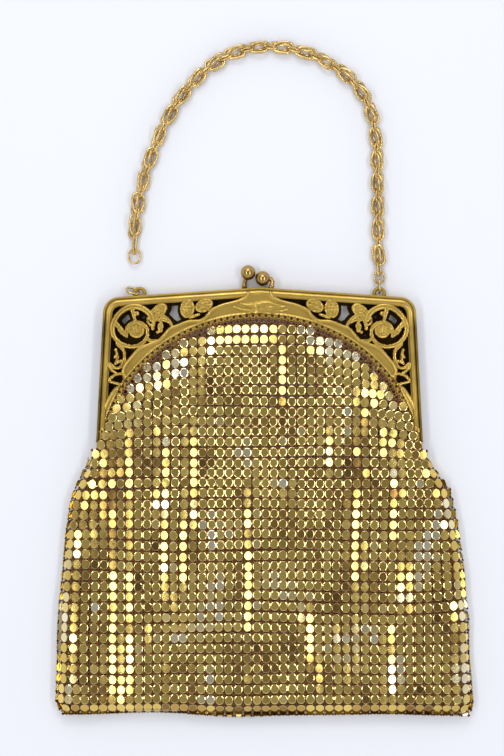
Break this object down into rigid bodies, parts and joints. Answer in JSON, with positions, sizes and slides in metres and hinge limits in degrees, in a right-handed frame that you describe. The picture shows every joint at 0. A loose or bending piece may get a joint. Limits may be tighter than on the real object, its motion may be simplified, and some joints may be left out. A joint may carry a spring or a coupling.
{
  "type": "mesh purse",
  "caption": "Small flat metal mesh purse on a pierced, hinged brass frame with a ball clasp and a chain handle whose left end is loose.",
  "frame": {"origin": "midway between the legs, 3.5 mm above the line of the two frame hinges, on the surface that the purse lies on", "axes": "+Y up through the clasp, +Z out of the front face, +X to the right when seen from the front"},
  "size_m": [0.143, 0.2315, 0.0086],
  "materials": {
    "frame_brass": "antique gold, worn",
    "mesh_brass": "bright pale gold plaques, darkened between",
    "chain_brass": "polished gold wire",
    "clasp_brass": "worn gold"
  },
  "bodies": {
    "back": {"back_clasp_ball": "clasp_brass", "back_clasp_stem": "clasp_brass", "back_frame": "frame_brass", "back_mesh_rail": "frame_brass", "left_chain_lug": "frame_brass", "left_hinge_rivet": "frame_brass", "mesh_bag": "mesh_brass", "right_chain_lug": "frame_brass", "right_hinge_rivet": "frame_brass"},
    "front": {"front_frame": "frame_brass", "front_mesh_rail": "frame_brass", "front_clasp_ball": "clasp_brass", "front_clasp_stem": "clasp_brass", "mesh_front_yoke": "mesh_brass"},
    "left_lug_link": {"left_lug_link": "chain_brass"},
    "right_lug_link": {"right_lug_link": "chain_brass"},
    "loose_ring": {"left_loose_ring": "chain_brass"},
    "chain": {"chain_joining_links": "chain_brass", "chain_link_pair_01": "chain_brass", "chain_link_pair_02": "chain_brass", "chain_link_pair_03": "chain_brass", "chain_link_pair_04": "chain_brass", "chain_link_pair_05": "chain_brass", "chain_link_pair_06": "chain_brass", "chain_link_pair_07": "chain_brass", "chain_link_pair_08": "chain_brass", "chain_link_pair_09": "chain_brass", "chain_link_pair_10": "chain_brass", "chain_link_pair_11": "chain_brass", "chain_link_pair_12": "chain_brass", "chain_link_pair_13": "chain_brass", "chain_link_pair_14": "chain_brass", "chain_link_pair_15": "chain_brass", "chain_link_pair_16": "chain_brass", "chain_link_pair_17": "chain_brass", "chain_link_pair_18": "chain_brass", "chain_link_pair_19": "chain_brass", "chain_link_pair_20": "chain_brass", "chain_link_pair_21": "chain_brass", "chain_link_pair_22": "chain_brass", "chain_link_pair_23": "chain_brass", "right_end_ring": "chain_brass"}
  },
  "joints": [
    {"name": "frame_open", "type": "hinge", "parent": "back", "child": "front", "pos_m": [0, -0.0035, 0.0032], "axis": [1, 0, 0], "range_deg": [0, 80]},
    {"name": "left_lug_link_swing", "type": "hinge", "parent": "back", "child": "left_lug_link", "pos_m": [-0.04127, 0.05083, 0.0022], "axis": [0, 0, 1], "range_deg": [-144, 5]},
    {"name": "right_lug_link_swing", "type": "hinge", "parent": "back", "child": "right_lug_link", "pos_m": [0.04127, 0.05083, 0.0022], "axis": [0, 0, 1], "range_deg": [-60, 4]},
    {"name": "chain_lift", "type": "hinge", "parent": "right_lug_link", "child": "chain", "pos_m": [0.04127, 0.05418, 0.00175], "axis": [1, 0, 0], "range_deg": [0, 90]},
    {"name": "loose_ring_swing", "type": "hinge", "parent": "chain", "child": "loose_ring", "pos_m": [-0.043, 0.06592, 0.00175], "axis": [0, 0, 1], "range_deg": [-25, 25]}
  ]
}
